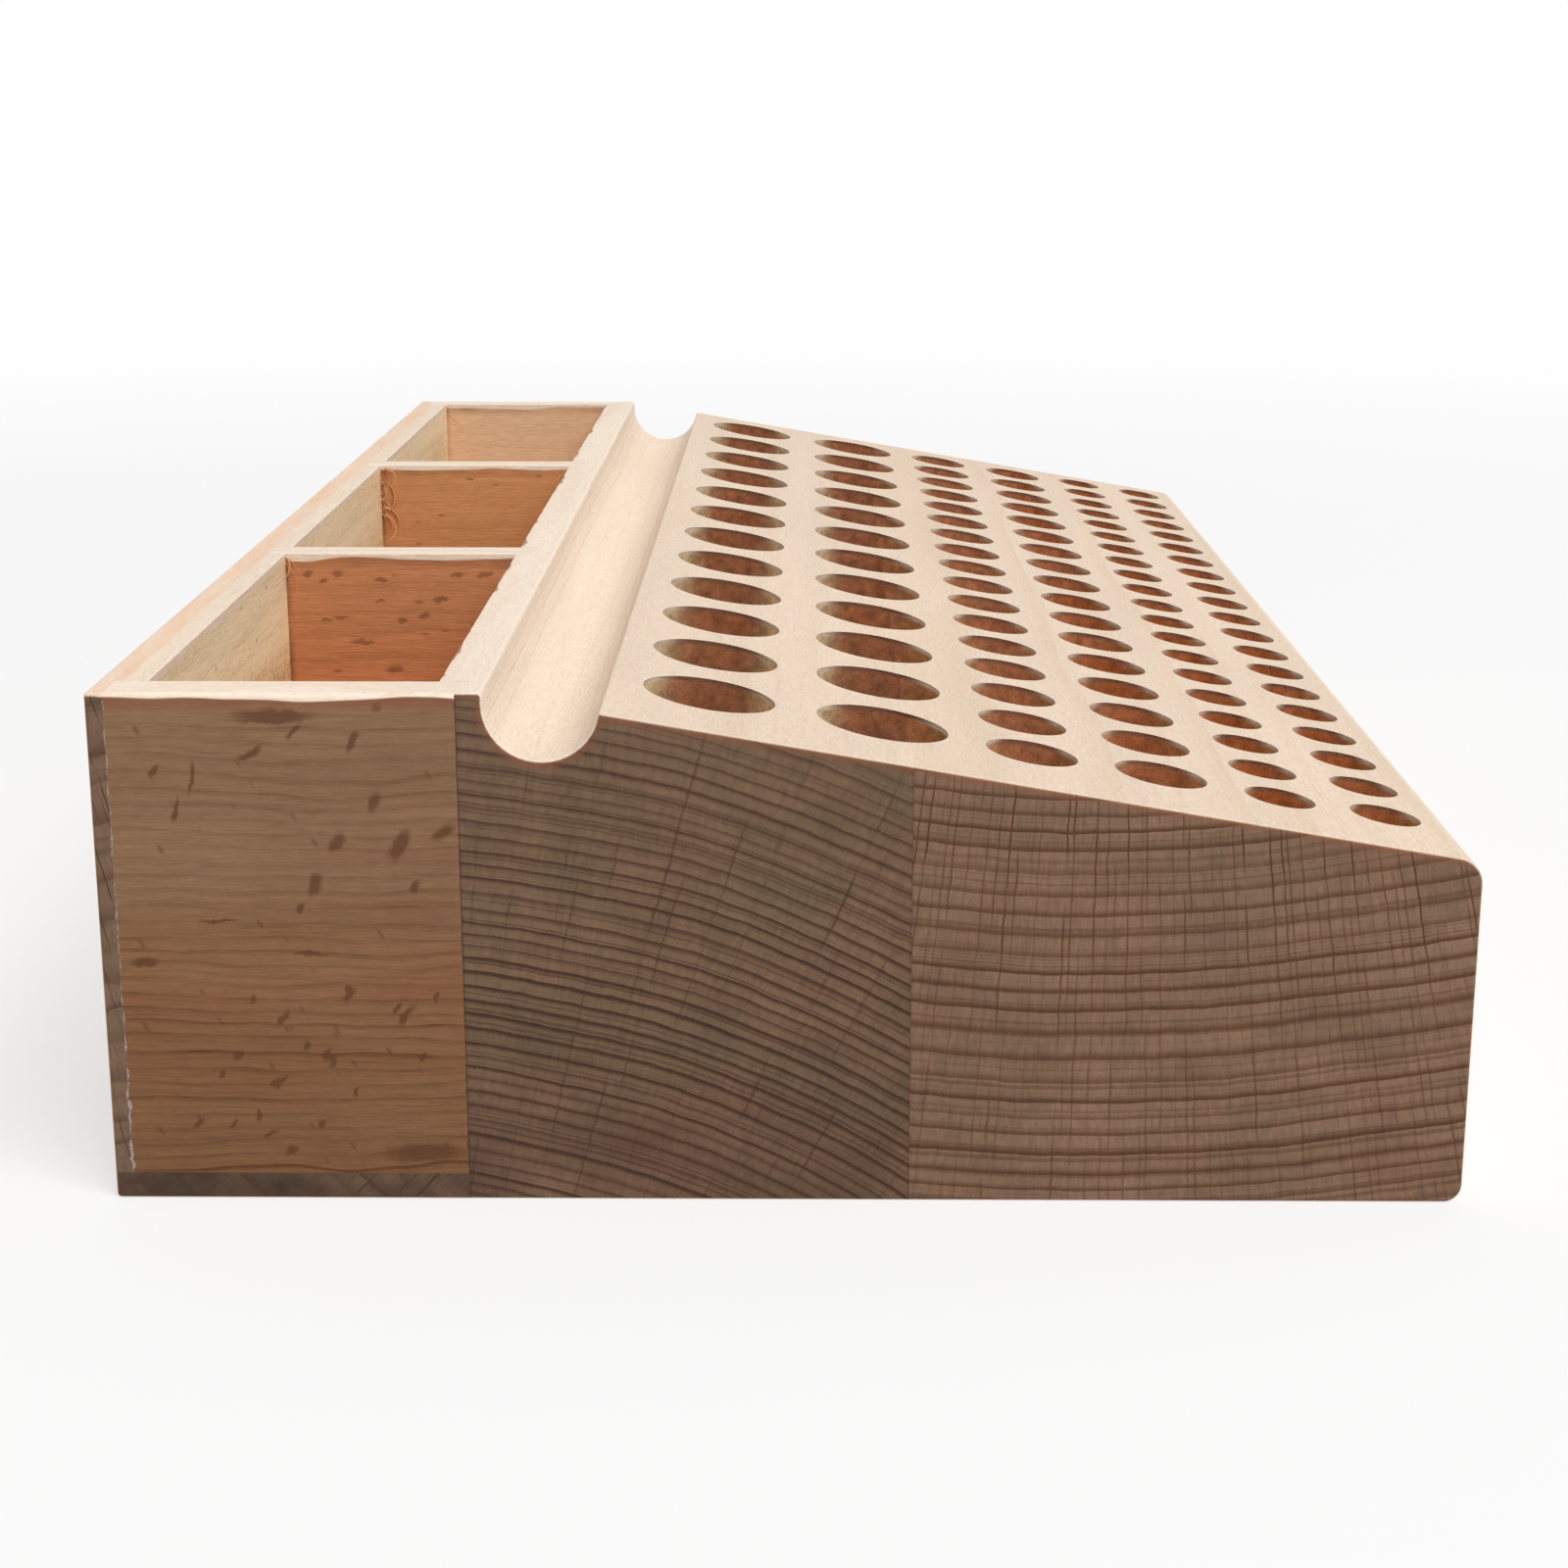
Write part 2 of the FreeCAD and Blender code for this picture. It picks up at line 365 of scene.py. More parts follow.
def cut_colour(tree, place, height, ring, ray, weave, tones, strength, seed):
    """Beech sawn across the grain: it drinks the light, so it is dark, with sharp rings and rays. The
    tones given to it hold painted shade on top of that.

    tones holds the ground, its tone near the bottom and the ring tone, and strength how plainly the
    rings and the rays show.
    """
    new = partial(add, tree)
    stains = bpy.context.scene.rack_tones
    ground, low, line = tones
    down = new("MapRange", [height, 30.0, 4.0, 0.0, 1.0], interpolation_type="SMOOTHSTEP")
    colour = new("Mix", [down, ground, low], data_type="RGBA")
    stain = patches(tree, place, (60, 16, 11), -0.1, 0.5, seed + 3)
    colour = new("Mix", [stain, colour, stains.olive], data_type="RGBA")
    stain = patches(tree, place, (60, 15, 10), -0.25, 0.75, seed + 6)
    colour = new("Mix", [stain, colour, stains.pink], data_type="RGBA")
    strong = new("Math", [ring, strength[0]], operation="MULTIPLY")
    colour = new("Mix", [strong, colour, line], data_type="RGBA")
    strong = new("Math", [ray, strength[1]], operation="MULTIPLY")
    colour = new("Mix", [strong, colour, line], data_type="RGBA")
    shade = new("Math", [weave, 0.6, 0.7], operation="MULTIPLY_ADD")
    uneven = patches(tree, place, (60, 6, 6), 0.9, 1.08, seed + 9)
    shade = new("Math", [shade, uneven], operation="MULTIPLY")
    mottle = new("TexNoise", [place, 1 / 0.909, 3.0, 0.8])
    mottle = new("Math", [mottle, 0.4, 0.8], operation="MULTIPLY_ADD")
    shade = new("Math", [shade, mottle], operation="MULTIPLY")
    return new("VectorMath", [colour, shade], operation="SCALE")


def bored_colour(tree, place, across_place, pores, facing, crossing, below, walls, seed):
    """A hole's wall, cut by a spinning bit: tan where the fibres lie along it, brown across them.

    walls holds the tan of the side that faces the front and of the one that faces the back, which
    differ by painted light and shade, and the browns across the fibres: near the mouth, there in the
    holes where the bit ran hot, and deeper, darker as painted shade.
    The small bits near the front ran hotter than the others.
    """
    new = partial(add, tree)
    to_front, to_back, mouth, mouth_hot, further = walls
    # Painted shade: across the fibres the wall darkens from 1 to 6 mm below the mouth
    deep = new("MapRange", [below, 1.0, 6.0, 0.0, 1.0], interpolation_type="SMOOTHSTEP")
    uneven = new("MapRange", [across_place, -30.0, -48.0, -0.4, 0.5], interpolation_type="SMOOTHSTEP")
    blotch = patches(tree, place, (13, 13, 60), -0.2, 0.8, seed + 8)
    uneven = new("Math", [blotch, uneven], operation="ADD")
    uneven = new("Math", [uneven, 0.0], operation="ADD", use_clamp=True)
    hot = new("Mix", [uneven, mouth, mouth_hot], data_type="RGBA")
    hot = new("Mix", [deep, hot, further], data_type="RGBA")
    across = new("MapRange", [crossing, 0.3, 0.97, 0.0, 1.0], interpolation_type="SMOOTHSTEP")
    # The tans of the front- and back-facing walls differ by painted light and shade
    side = new("MapRange", [facing[1], -0.5, 0.5, 0.0, 1.0])
    colour = new("Mix", [side, to_front, to_back], data_type="RGBA")
    colour = new("Mix", [across, colour, hot], data_type="RGBA")
    shade = new("Math", [pores, 0.8, 0.62], operation="MULTIPLY_ADD")
    rough = patches(tree, place, (2, 1.4, 1.4), 0.65, 1.25, seed)
    shade = new("Math", [shade, rough], operation="MULTIPLY")
    return new("VectorMath", [colour, shade], operation="SCALE")


def glue_line(tree, place, height, across, joint, most):
    """Dried glue that was squeezed out of a joint: a broken line from 0 to 1.

    joint is where it lies across, in mm. The line is up to twice most wide, in beads low down on the
    joint, and about half as wide above them.
    """
    new = partial(add, tree)
    lumps = new("TexNoise", [place, 1 / 1.667, 3.0, 0.7])
    lumps = new("MapRange", [lumps, 0.42, 0.66, 0.0, most])
    thin = new("MapRange", [height, 20.0, 16.0, 0.55, 1.0], interpolation_type="SMOOTHSTEP")
    lumps = new("Math", [lumps, thin], operation="MULTIPLY")
    off = new("Math", [across, joint], operation="SUBTRACT")
    off = new("Math", [off], operation="ABSOLUTE")
    inner = new("Math", [lumps, off], operation="SUBTRACT")
    return new("MapRange", [inner, 0.0, 0.15, 0.0, 0.8], interpolation_type="SMOOTHSTEP")


def block_beech(name, pith, seed, tones, walls, strengths, gaps, reach):
    """Solid beech board: planed along the grain, sawn at its ends, and bored.

    The planed faces are pale. The cut ends are much darker, as end grain and with painted shade in
    their tones, and show the rings and a comb of rays, with a brown line where the sander ran over
    their upper edge. The bit leaves the holes tan and brown, darker further down with painted shade.
    tones and walls are those of cut_colour and bored_colour. strengths holds how plainly the rings
    show high and low on the end, and the rays low and high, gaps the mm between rings and between
    rays, and reach is that of rays.
    """
    scene = bpy.context.scene
    made, tree = empty_material(name)
    new = partial(add, tree)
    place, parts, facing = place_in(tree, "X")
    ring, radius, wave = growth(tree, place, parts, pith, gaps[0], 0.35, seed)
    ray, weave = rays(tree, parts, pith, radius, wave, gaps[1], reach)
    pores = pores_in(tree, place)
    crossing = new("Math", [facing[0]], operation="ABSOLUTE")
    end = new("MapRange", [crossing, 0.5, 0.9, 0.0, 1.0], interpolation_type="SMOOTHSTEP")

    # How far a point lies below the sloping top, and from the groove's round floor, in mm
    lift = new("VectorMath", [place, UP_FROM_SLOPE], operation="DOT_PRODUCT")
    rim = GROOVE_RIM[0] * UP_FROM_SLOPE[1] + GROOVE_RIM[1] * UP_FROM_SLOPE[2]
    below = new("Math", [rim, lift.outputs["Value"]], operation="SUBTRACT")
    groove = new("VectorMath", [place, (0, *GROOVE_CENTRE)], operation="SUBTRACT")
    groove = new("VectorMath", [groove, (0, 1, 1)], operation="MULTIPLY")
    groove = new("VectorMath", [groove], operation="LENGTH")
    groove = new("Math", [groove.outputs["Value"], GROOVE_RADIUS], operation="SUBTRACT")
    nearest = new("Math", [below, groove], operation="MINIMUM")

    # The rings show most near the bottom, and the front board's rays near the top
    rings_show, rays_show = strengths
    rings_show = new("MapRange", [parts[2], 40.0, 22.0, *rings_show], interpolation_type="SMOOTHSTEP")
    rays_show = new("MapRange", [parts[2], 20.0, 38.0, *rays_show], interpolation_type="SMOOTHSTEP")
    cut = cut_colour(tree, place, parts[2], ring, ray, weave, tones, (rings_show, rays_show), seed)
    brown = new("MapRange", [nearest, 1.15, 0.3, 0.0, 0.9], interpolation_type="SMOOTHSTEP")
    brown = new("Math", [brown, patches(tree, place, (60, 4, 4), 0.15, 1.0, seed)], operation="MULTIPLY")
    cut = new("Mix", [brown, cut, scene.rack_tones.scorch], data_type="RGBA")
    for joint, most in ((BOX_JOINT, 0.6), (BLOCK_JOINT, 0.3)):
        seam = new("Math", [parts[1], joint], operation="SUBTRACT")
        seam = new("Math", [seam], operation="ABSOLUTE")
        seam = new("MapRange", [seam, 0.3, 0.05, 0.0, most], interpolation_type="SMOOTHSTEP")
        cut = new("Mix", [seam, cut, tones[2]], data_type="RGBA")

    # Lengthways the strip and the groove are the palest, and the strip's back edge is torn. The slope's
    # darker tone is partly painted shade, set against the softbox's stronger light on it
    strip = new("Math", [parts[1], GROOVE_RIM[0] + 0.3], operation="GREATER_THAN")
    plain = new("MapRange", [groove, 0.4, 0.1, 1.0, 0.4])
    paler = new("Math", [plain, 0.5, 0.5], operation="MULTIPLY_ADD")
    paler = new("Math", [strip, paler], operation="MULTIPLY")
    ground = new("Mix", [paler, scene.rack_tones.block_top, scene.rack_tones.planed], data_type="RGBA")
    faint = new("Math", [ring, plain], operation="MULTIPLY")
    along = planed_colour(tree, place, ground, faint, ray, pores, seed)
    torn = new("VectorMath", [place, (1 / 14.29, 0, 0)], operation="MULTIPLY")
    torn = new("TexNoise", [torn, 1.0, 4.0, 0.65])
    torn = new("Math", [torn, 3.6, -1.7], operation="MULTIPLY_ADD")
    torn = new("Math", [torn, parts[1]], operation="ADD")
    torn = new("MapRange", [torn, BOX_FRONT, BOX_FRONT + 0.2, 0.0, 0.8])
    high = new("MapRange", [parts[2], HEIGHT - 0.8, HEIGHT - 0.4, 0.0, 1.0])
    torn = new("Math", [torn, high], operation="MULTIPLY")
    along = new("Mix", [torn, along, scene.rack_tones.scorch], data_type="RGBA")
    colour = new("Mix", [end, along, cut], data_type="RGBA")

    # The walls of the holes lie inside the board, below the slope
    inside = new("Math", [parts[0]], operation="ABSOLUTE")
    inside = new("Math", [inside, LENGTH / 2 - SKIN], operation="LESS_THAN")
    for value, least in ((parts[1], SKIN - WIDTH / 2), (parts[2], 1.0), (groove, 1.0)):
        clear = new("Math", [value, least], operation="GREATER_THAN")
        inside = new("Math", [inside, clear], operation="MULTIPLY")
    clear = new("Math", [parts[1], GROOVE_RIM[0]], operation="LESS_THAN")
    inside = new("Math", [inside, clear], operation="MULTIPLY")
    deep = new("MapRange", [below, 0.15, 0.8, 0.0, 1.0], interpolation_type="SMOOTHSTEP")
    inside = new("Math", [inside, deep], operation="MULTIPLY")
    wall = bored_colour(tree, place, parts[1], pores, facing, crossing, below, walls, seed)
    colour = new("Mix", [inside, colour, wall], data_type="RGBA")

    raised = new("Math", [inside, 0.8, -0.8], operation="MULTIPLY_ADD")
    relief = new("Math", [ring, raised, pores], operation="MULTIPLY_ADD")
    roughness = new("Math", [end, 0.15, 0.62], operation="MULTIPLY_ADD")
    gloss = new("Math", [inside, -0.22, 0.25], operation="MULTIPLY_ADD")
    bare_wood(tree, colour, relief, roughness, gloss, 0.1)
    return made


def flecks(tree, place, length, width, tilt, share, seed):
    """Scattered spindle flecks from 0 to 1, where a broad ray runs out at the surface.

    length and width are a fleck's in mm, tilt lifts its far end off the grain, and share is the part
    of the places that have one.
    """
    new = partial(add, tree)
    turned = new("VectorRotate", {"Vector": place, "Angle": tilt}, rotation_type="Y_AXIS")
    packed = (1 / (3 * length), 0.12, 1 / (3 * width))
    turned = new("VectorMath", [turned, packed, (seed, seed, seed)], operation="MULTIPLY_ADD")
    cells = new("TexVoronoi", {"Vector": turned, "Scale": 1.0, "Randomness": 0.9}, feature="F1")
    core = [cells.outputs["Distance"], 0.24, 0.06, 0.0, 1.0]
    core = new("MapRange", core, interpolation_type="SMOOTHSTEP")
    chosen = new("SeparateColor", [cells.outputs["Color"]])
    chosen = new("Math", [chosen, share], operation="LESS_THAN")
    return new("Math", [core, chosen], operation="MULTIPLY")


def placed_flecks(tree, place, marks):
    """Flecks put where they are seen, from 0 to 1, each as (Y, Z, length, width, degrees of tilt)."""
    new = partial(add, tree)
    ragged = new("TexNoise", [place, 0.9, 3.0])
    ragged = new("VectorMath", [ragged.outputs["Color"], (0.5, 0.5, 0.5)], operation="SUBTRACT")
    ragged = new("VectorMath", [ragged, (1.1, 1.1, 1.1), place], operation="MULTIPLY_ADD")
    nearest = 9.0
    for y, z, length, width, tilt in marks:
        local = new("VectorMath", [ragged, (y, 0, z)], operation="SUBTRACT")
        turn = {"Vector": local, "Angle": math.radians(tilt)}
        local = new("VectorRotate", turn, rotation_type="Y_AXIS")
        local = new("VectorMath", [local, (2 / length, 0, 2 / width)], operation="MULTIPLY")
        local = new("VectorMath", [local], operation="LENGTH")
        nearest = new("Math", [local.outputs["Value"], nearest], operation="MINIMUM")
    return new("MapRange", [nearest, 1.25, 0.5, 0.0, 1.0], interpolation_type="SMOOTHSTEP")


def board_beech(name, grain, pith, seed, outer_tones, inner_tones, looks, marks=()):
    """Thin beech board: sawn and sanded faces, its upper edge sanded pale, its ends cut across.

    The faces lie near the rays' own plane, so they show straight grain and dark flecks. Each pair of
    tones holds a face's upper and lower one; the end panels' outer pair is darkened with painted
    shade, and their inner pair is pale. marks lists the flecks that have a place of their own.
    looks holds, in mm, gap from ring to ring, wander, fade from the upper to the lower tone, and skin,
    beyond which a face is an outer one. Its other keys say how strongly a mark shows, except tilt, the
    flecks' angle, end, the tone of the cut ends, glue, the joints with glue in them as (place, most,
    tone), and outer_stripe, for a board whose upper edge has a pink stripe along its outside.
    """
    scene = bpy.context.scene
    tones = scene.rack_tones
    made, tree = empty_material(name)
    new = partial(add, tree)
    place, parts, facing = place_in(tree, grain)
    wavy = new("VectorMath", [place, (3, 1, 1)], operation="MULTIPLY")
    ring, radius, wave = growth(tree, wavy, parts, pith, looks["gap"], looks["wander"], seed)
    ray, weave = rays(tree, parts, pith, radius, wave, 1.6, (6, 0.7))
    pores = pores_in(tree, place)
    crossing = new("Math", [facing[0]], operation="ABSOLUTE")
    end = new("MapRange", [crossing, 0.5, 0.9, 0.0, 1.0], interpolation_type="SMOOTHSTEP")

    # Faces: the lower half of another tone, rings as bands along the grain, and long fine streaks
    low = new("MapRange", [parts[2], *looks["fade"], 0.0, 1.0], interpolation_type="SMOOTHSTEP")
    low = new("Math", [low, patches(tree, place, (60, 30, 8), -0.35, 0.35, seed)], operation="ADD")
    low = new("Math", [low, 0.0], operation="ADD", use_clamp=True)
    # Outer faces take the outer tones, which on the end panels are darkened with painted shade
    outside = new("Math", [parts[1]], operation="ABSOLUTE")
    outside = new("Math", [outside, looks["skin"]], operation="GREATER_THAN")
    face = new("Mix", [low, *outer_tones], data_type="RGBA")
    inner = new("Mix", [low, *inner_tones], data_type="RGBA")
    face = new("Mix", [outside, inner, face], data_type="RGBA")
    red = patches(tree, place, (50, 40, 7), -0.9, 0.9, seed + 11)
    red = new("Math", [red, looks["red"]], operation="MULTIPLY", use_clamp=True)
    face = new("Mix", [red, face, tones.scorch], data_type="RGBA")
    bands = new("Math", [low, 0.6, 0.4], operation="MULTIPLY_ADD")
    bands = new("Math", [bands, looks["bands"]], operation="MULTIPLY")
    bands = new("Math", [bands, ring], operation="MULTIPLY")
    broken = patches(tree, place, (9, 9, 2), 0.25, 1.45, seed + 4)
    bands = new("Math", [bands, broken], operation="MULTIPLY")
    face = new("Mix", [bands, face, tones.fleck], data_type="RGBA")
    streak = new("VectorMath", [place, (11.11, 1.25, 0.625)], operation="DIVIDE")
    streak = new("TexNoise", [streak, 1.0, 4.0, 0.75])
    shade = new("Math", [streak, looks["streaks"], 1 - looks["streaks"] / 2], operation="MULTIPLY_ADD")
    fine = new("Math", [pores, 0.3, 0.85], operation="MULTIPLY_ADD")
    shade = new("Math", [shade, fine], operation="MULTIPLY")
    uneven = patches(tree, place, (120, 30, 9), 0.9, 1.08, seed + 2)
    shade = new("Math", [shade, uneven], operation="MULTIPLY")
    mottle = new("VectorMath", [place, (2.0, 0.7143, 0.7143)], operation="DIVIDE")
    mottle = new("TexNoise", [mottle, 1.0, 3.0, 0.8])
    mottle = new("Math", [mottle, 0.36, 0.82], operation="MULTIPLY_ADD")
    shade = new("Math", [shade, mottle], operation="MULTIPLY")
    face = new("VectorMath", [face, shade], operation="SCALE")

    # Faces: flecks, and the rough specks of the saw
    large = flecks(tree, place, 2.6, 0.9, looks["tilt"], looks["large"], seed)
    small = flecks(tree, place, 1.3, 0.5, looks["tilt"] / 2, looks["small"], seed + 5)
    spots = new("Math", [large, 0.7], operation="MULTIPLY")
    spots = new("Math", [small, 0.5, spots], operation="MULTIPLY_ADD", use_clamp=True)
    if marks:
        own = new("Math", [placed_flecks(tree, place, marks), looks["marks"]], operation="MULTIPLY")
        spots = new("Math", [spots, own], operation="MAXIMUM")
    face = new("Mix", [spots, face, tones.fleck], data_type="RGBA")
    saw = new("VectorMath", [place, (0.9091, 0.625, 0.7692)], operation="DIVIDE")
    saw = new("TexNoise", [saw, 1.0, 3.0, 0.7])
    saw = new("MapRange", [saw, 0.5, 0.66, 0.0, looks["sawn"]])
    saw = new("Math", [saw, low], operation="MULTIPLY")
    inside = new("Math", [1.0, outside], operation="SUBTRACT")
    saw = new("Math", [saw, inside], operation="MULTIPLY")
    face = new("Mix", [saw, face, tones.scorch], data_type="RGBA")

    ends = (looks["end"], looks["end"], tones.rear_ring)
    cut = cut_colour(tree, place, parts[2], ring, ray, weave, ends, (0.7, looks["rays"]), seed)
    colour = new("Mix", [end, face, cut], data_type="RGBA")

    # The upper edge, sanded pale, with a ragged pale band below it that is a painted highlight of the
    # eased edge, and the brown line that the sander left just under it
    under = new("Math", [HEIGHT, parts[2]], operation="SUBTRACT")
    brown = new("MapRange", [under, 2.4, 0.9, 0.0, looks["burnish"]], interpolation_type="SMOOTHSTEP")
    brown = new("Math", [brown, patches(tree, place, (7, 4, 4), 0.2, 1.1, seed)], operation="MULTIPLY")
    colour = new("Mix", [brown, colour, tones.scorch], data_type="RGBA")
    up = new("MapRange", [facing[2], 0.3, 0.8, 0.0, 1.0], interpolation_type="SMOOTHSTEP")
    # Painted highlight: a ragged pale band just under the top, where the eased edge catches the light
    lit_edge = new("VectorMath", [place, (11.11, 2.5, 5.0)], operation="DIVIDE")
    lit_edge = new("TexNoise", [lit_edge, 1.0, 1.0, 0.4])
    lit_edge = new("Math", [lit_edge, 1.5, -0.1], operation="MULTIPLY_ADD")
    lit_edge = new("Math", [lit_edge, under], operation="SUBTRACT")
    lit_edge = new("MapRange", [lit_edge, -0.1, 0.1, 0.0, 1.0])
    up = new("Math", [up, lit_edge], operation="MAXIMUM")
    high = new("Math", [under, 1.5], operation="LESS_THAN")
    up = new("Math", [up, high], operation="MULTIPLY")
    edge = planed_colour(tree, place, tones.planed, ring, 0.0, pores, seed)
    if looks.get("outer_stripe"):
        outer = patches(tree, place, (9, 3, 3), -0.25, 0.25, seed)
        outer = new("Math", [parts[1], outer], operation="ADD")
        outer = new("MapRange", [outer, BACK_JOINT - 1.2, BACK_JOINT - 0.6, 0.0, 0.9])
        blotch = patches(tree, place, (12, 2, 3), 0.2, 1.0, seed + 7)
        outer = new("Math", [outer, blotch], operation="MULTIPLY")
        edge = new("Mix", [outer, edge, tones.heart], data_type="RGBA")
    colour = new("Mix", [up, colour, edge], data_type="RGBA")

    # Dirt in the corner with the back panel, and glue squeezed out of the joints at the ends
    if "corner" in looks:
        corner = new("MapRange", [parts[0], BOX_CORNER - 0.9, BOX_CORNER - 0.1, 0.0, looks["corner"]])
        broken = patches(tree, place, (4, 4, 3), 0.2, 1.0, seed)
        corner = new("Math", [corner, broken], operation="MULTIPLY")
        shy = new("Math", [under, 0.6], operation="GREATER_THAN")
        corner = new("Math", [corner, shy], operation="MULTIPLY")
        corner = new("Math", [corner, inside], operation="MULTIPLY")
        colour = new("Mix", [corner, colour, tones.fleck], data_type="RGBA")
    below_top = new("Math", [under, 0.8], operation="GREATER_THAN")
    across = parts[0] if grain == "Y" else parts[1]
    for joint, most, glue in looks["glue"]:
        line = glue_line(tree, place, parts[2], across, joint, most)
        line = new("Math", [line, below_top], operation="MULTIPLY")
        colour = new("Mix", [line, colour, glue], data_type="RGBA")

    relief = new("Math", [saw, 1.5, pores], operation="MULTIPLY_ADD")
    bare_wood(tree, colour, relief, 0.68, 0.25, 0.1)
    return made


def dress(name, finish):
    """Gives the CAD piece of this name a finish in place of its own."""
    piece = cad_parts[name]
    piece.data.materials.clear()
    piece.data.materials.append(finish)


class RACK_OT_block(bpy.types.Operator):
    """Finishes the two boards of the solid block, with the groove and the tool holes"""

    bl_idname = "rack.block"
    bl_label = "Block"

    def execute(self, context):
        tones = context.scene.rack_tones
        grain = context.scene.rack_grain
        gaps = (grain.rear_ring_gap / MM, grain.rear_ray_gap / MM)
        look = (tones.rear_end, tones.rear_low, tones.rear_ring)
        walls = (tones.bored, tones.bored_back, tones.bored_end, tones.bored_hot, tones.bored_deep)
        shows = ((1.0, 1.4), (0.65, 0.65))
        rear = block_beech(
            "beech rear board, planed, sawn and bored", REAR_PITH, 1.0, look, walls, shows, gaps,
            (14, 0.75)
        )
        dress("rear_block", rear)
        gaps = (grain.front_ring_gap / MM, grain.front_ray_gap / MM)
        look = (tones.front_end, tones.front_end, tones.front_ring)
        walls = (
            tones.small_front, tones.small_back, tones.small_mouth, tones.bored_hot, tones.small_deep
        )
        shows = ((0.95, 1.1), (0.7, 1.15))
        front = block_beech(
            "beech front board, planed, sawn and bored", FRONT_PITH, 5.0, look, walls, shows, gaps,
            (12, 1.0)
        )
        dress("front_block", front)
        return {"FINISHED"}


# The plain flecks of the end panel that is seen first, as (Y, Z, length, width, degrees of tilt)
END_PANEL_FLECKS = (
    (40.5, 39.8, 4.2, 1.7, 118),
    (47.0, 40.0, 2.6, 1.5, 125),
    (42.9, 44.5, 2.4, 1.3, 120),
    (35.9, 41.2, 3.0, 1.4, 150),
    (49.5, 35.4, 3.0, 1.6, 115),
    (38.9, 35.3, 1.8, 1.0, 125),
    (67.9, 26.8, 3.4, 1.1, 175),
    (45.0, 50.8, 2.6, 0.9, 110),
    (50.9, 52.0, 2.4, 0.7, 130),
    (55.6, 49.6, 3.6, 0.9, 150),
    (65.7, 47.6, 1.8, 0.8, 120),
    (53.0, 53.6, 9.0, 1.6, 180),
    (53.4, 53.2, 7.0, 0.9, 180),
    (58.5, 16.5, 1.9, 1.0, 130),
    (54.3, 13.6, 2.4, 0.8, 150),
    (49.0, 16.5, 1.6, 0.9, 120),
    (41.5, 21.7, 1.7, 0.8, 125),
    (38.9, 16.3, 1.6, 0.8, 130),
    (46.4, 23.9, 1.5, 0.8, 120),
    (39.0, 5.4, 9.0, 2.4, 178),
    (53.5, 20.7, 2.0, 0.8, 120),
    (46.3, 23.3, 2.2, 0.8, 130),
    (40.5, 20.9, 3.2, 0.7, 130),
    (37.2, 23.1, 1.3, 0.6, 110),
    (51.1, 17.5, 1.4, 0.8, 100),
    (60.3, 14.4, 1.3, 0.8, 120),
    (48.5, 15.9, 1.8, 0.9, 110),
    (54.5, 13.1, 1.3, 0.8, 100),
    (46.1, 12.2, 1.6, 0.6, 110),
    (63.2, 8.7, 1.8, 0.8, 135),
    (59.4, 8.7, 1.6, 0.7, 120),
    (56.7, 9.6, 1.3, 0.7, 110),
    (49.9, 8.5, 1.4, 0.8, 120),
    (55.5, 7.4, 1.7, 0.6, 160),
    (53.3, 5.5, 2.0, 1.0, 150),
    (51.2, 32.9, 1.3, 0.9, 110),
    (59.8, 31.4, 4.5, 0.5, 175),
    (50.3, 27.9, 4.0, 0.6, 182),
    (61.8, 46.9, 4.0, 0.6, 100),
    (63.7, 43.6, 3.0, 0.5, 105),
    (42.3, 54.5, 1.6, 0.9, 130),
    (56.6, 22.7, 1.2, 0.7, 110),
)

# Those of the first divider
DIVIDER_FLECKS = (
    (64.2, 53.3, 1.6, 0.9, 175),
    (62.1, 52.4, 1.3, 0.8, 160),
    (60.3, 53.4, 1.8, 0.9, 170),
    (54.4, 52.6, 1.8, 0.7, 180),
    (44.3, 53.3, 2.4, 0.6, 175),
    (40.5, 53.3, 2.4, 0.7, 170),
    (46.7, 50.0, 2.4, 1.0, 175),
    (48.9, 47.8, 2.0, 1.1, 160),
    (51.7, 47.1, 1.7, 0.8, 170),
    (57.2, 44.2, 3.4, 0.9, 180),
    (59.9, 47.5, 2.4, 0.6, 178),
    (53.0, 40.5, 2.8, 1.0, 175),
    (61.9, 47.1, 1.6, 0.6, 175),
    (54.6, 49.8, 1.6, 0.5, 170),
)


